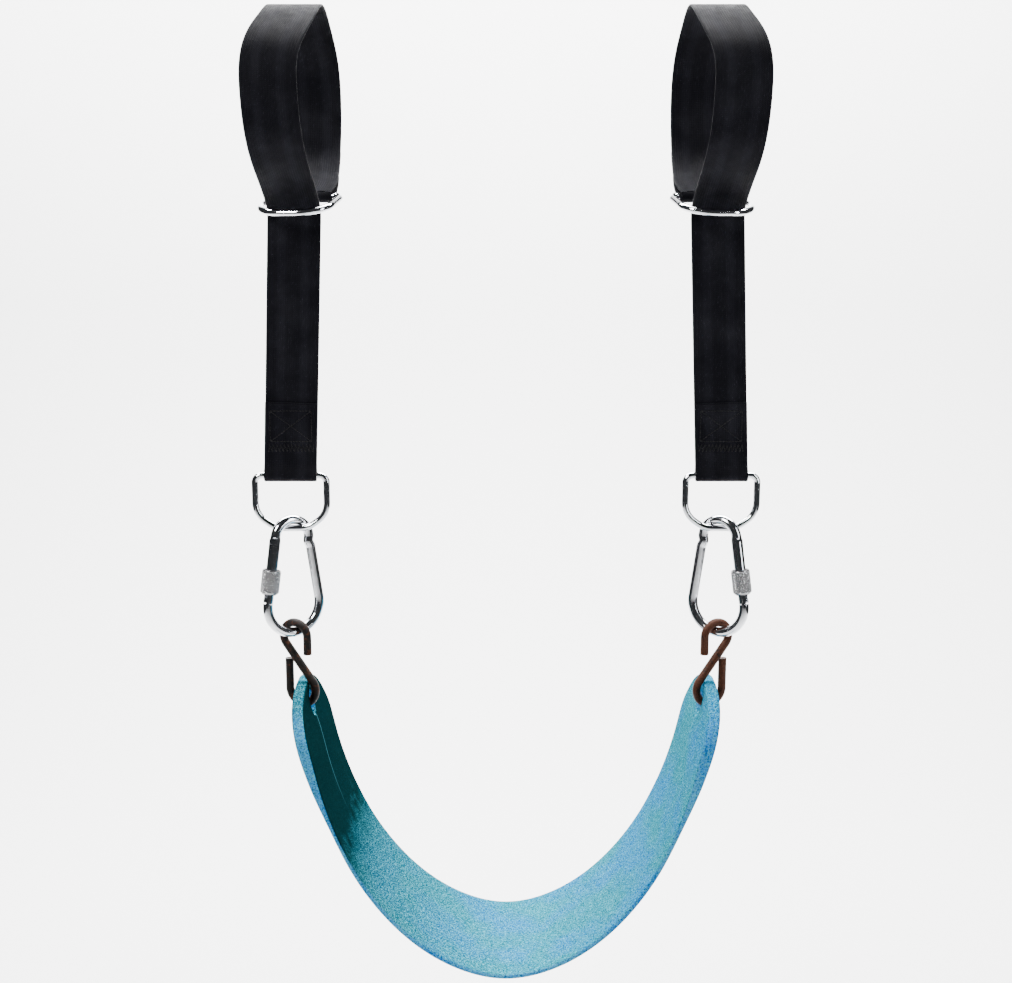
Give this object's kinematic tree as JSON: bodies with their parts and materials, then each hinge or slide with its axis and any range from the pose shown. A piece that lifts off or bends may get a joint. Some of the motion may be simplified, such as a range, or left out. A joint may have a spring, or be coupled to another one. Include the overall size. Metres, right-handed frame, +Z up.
{
  "type": "belt swing seat",
  "caption": "Moulded belt swing seat hung by S-hooks, screw-lock carabiners and D-rings from webbing straps choked round a beam.",
  "frame": {"origin": "on the beam's axis, midway between the two strap loops", "axes": "+X along the beam, +Y to the back of the swing, +Z up"},
  "size_m": [0.487, 0.165, 0.9111],
  "materials": {
    "webbing": "matt woven nylon webbing with a slight sheen",
    "thread": "bonded sewing thread",
    "ring_chrome": "bright plated, welded round wire",
    "carabiner_chrome": "bright zinc plating",
    "sleeve_steel": "knurled, satin",
    "spring_steel": "drawn wire",
    "hook_steel": "rust-brown weathered wire",
    "seat": "moulded, fine leather grain"
  },
  "bodies": {
    "beam_loops": {"left_strap_loop": "webbing", "right_strap_loop": "webbing", "left_loop_stitching": "thread", "right_loop_stitching": "thread"},
    "left_choke_ring": {"left_choke_ring": "ring_chrome"},
    "left_strap": {"left_strap_tail": "webbing", "left_tail_stitching": "thread"},
    "left_d_ring": {"left_d_ring": "ring_chrome"},
    "left_carabiner": {"left_carabiner_body": "carabiner_chrome", "left_gate_rivet": "carabiner_chrome"},
    "left_gate": {"left_gate": "carabiner_chrome", "left_gate_plunger": "spring_steel", "left_gate_spring": "spring_steel"},
    "left_sleeve": {"left_lock_sleeve": "sleeve_steel"},
    "left_s_hook": {"left_s_hook": "hook_steel"},
    "right_choke_ring": {"right_choke_ring": "ring_chrome"},
    "right_strap": {"right_strap_tail": "webbing", "right_tail_stitching": "thread"},
    "right_d_ring": {"right_d_ring": "ring_chrome"},
    "right_carabiner": {"right_carabiner_body": "carabiner_chrome", "right_gate_rivet": "carabiner_chrome"},
    "right_gate": {"right_gate": "carabiner_chrome", "right_gate_plunger": "spring_steel", "right_gate_spring": "spring_steel"},
    "right_sleeve": {"right_lock_sleeve": "sleeve_steel"},
    "right_s_hook": {"right_s_hook": "hook_steel"},
    "seat": {"seat_belt": "seat"}
  },
  "joints": [
    {"name": "left_choke_ring_tilt", "type": "hinge", "parent": "beam_loops", "child": "left_choke_ring", "pos_m": [-0.1865, 0.0242, -0.0876], "axis": [0.9613, -0.2756, 0], "range_deg": [-4, 6]},
    {"name": "right_choke_ring_tilt", "type": "hinge", "parent": "beam_loops", "child": "right_choke_ring", "pos_m": [0.1865, 0.0242, -0.0876], "axis": [0.9613, 0.2756, 0], "range_deg": [-4, 6]},
    {"name": "left_swing", "type": "hinge", "parent": "beam_loops", "child": "left_strap", "pos_m": [-0.1965, 0.00125, -0.108], "axis": [1, 0, 0], "range_deg": [-50, 50]},
    {"name": "right_swing", "type": "hinge", "parent": "beam_loops", "child": "right_strap", "pos_m": [0.1965, 0.00125, -0.108], "axis": [1, 0, 0], "range_deg": [-50, 50]},
    {"name": "left_d_ring_hinge", "type": "hinge", "parent": "left_strap", "child": "left_d_ring", "pos_m": [-0.206, 0, -0.34975], "axis": [1, 0, 0], "range_deg": [-30, 30]},
    {"name": "right_d_ring_hinge", "type": "hinge", "parent": "right_strap", "child": "right_d_ring", "pos_m": [0.206, 0, -0.34975], "axis": [1, 0, 0], "range_deg": [-30, 30]},
    {"name": "left_carabiner_hinge", "type": "hinge", "parent": "left_d_ring", "child": "left_carabiner", "pos_m": [-0.206, 0, -0.40135], "axis": [1, 0, 0], "range_deg": [-25, 25]},
    {"name": "right_carabiner_hinge", "type": "hinge", "parent": "right_d_ring", "child": "right_carabiner", "pos_m": [0.206, 0, -0.40135], "axis": [1, 0, 0], "range_deg": [-25, 25]},
    {"name": "left_s_hook_hinge", "type": "hinge", "parent": "left_carabiner", "child": "left_s_hook", "pos_m": [-0.2054, 0.00018, -0.50465], "axis": [1, 0, 0], "range_deg": [-10, 10]},
    {"name": "right_s_hook_hinge", "type": "hinge", "parent": "right_carabiner", "child": "right_s_hook", "pos_m": [0.2054, 0.00018, -0.50465], "axis": [1, 0, 0], "range_deg": [-10, 10]},
    {"name": "left_gate_hinge", "type": "hinge", "parent": "left_carabiner", "child": "left_gate", "pos_m": [-0.22107, -0.01095, -0.41346], "axis": [0.5878, -0.809, 0], "range_deg": [0, 22], "stiffness_Nm_per_rad": 0.06, "springref_deg": -34.38},
    {"name": "right_gate_hinge", "type": "hinge", "parent": "right_carabiner", "child": "right_gate", "pos_m": [0.22107, -0.01095, -0.41346], "axis": [0.5878, 0.809, 0], "range_deg": [0, 22], "stiffness_Nm_per_rad": 0.06, "springref_deg": -34.38},
    {"name": "left_sleeve_screw", "type": "slide", "parent": "left_gate", "child": "left_sleeve", "axis": [-0.1228, -0.0892, -0.9884], "range_m": [0, 0.011]},
    {"name": "right_sleeve_screw", "type": "slide", "parent": "right_gate", "child": "right_sleeve", "axis": [0.1228, -0.0892, -0.9884], "range_m": [0, 0.011]},
    {"name": "seat_hinge", "type": "hinge", "parent": "left_s_hook", "child": "seat", "pos_m": [0, 0, -0.576], "axis": [1, 0, 0], "range_deg": [-8, 12]}
  ],
  "couplings": [
    {"joint": "right_swing", "follows": "left_swing", "ratio": 1},
    {"joint": "right_d_ring_hinge", "follows": "left_d_ring_hinge", "ratio": 1},
    {"joint": "right_carabiner_hinge", "follows": "left_carabiner_hinge", "ratio": 1},
    {"joint": "right_s_hook_hinge", "follows": "left_s_hook_hinge", "ratio": 1}
  ]
}
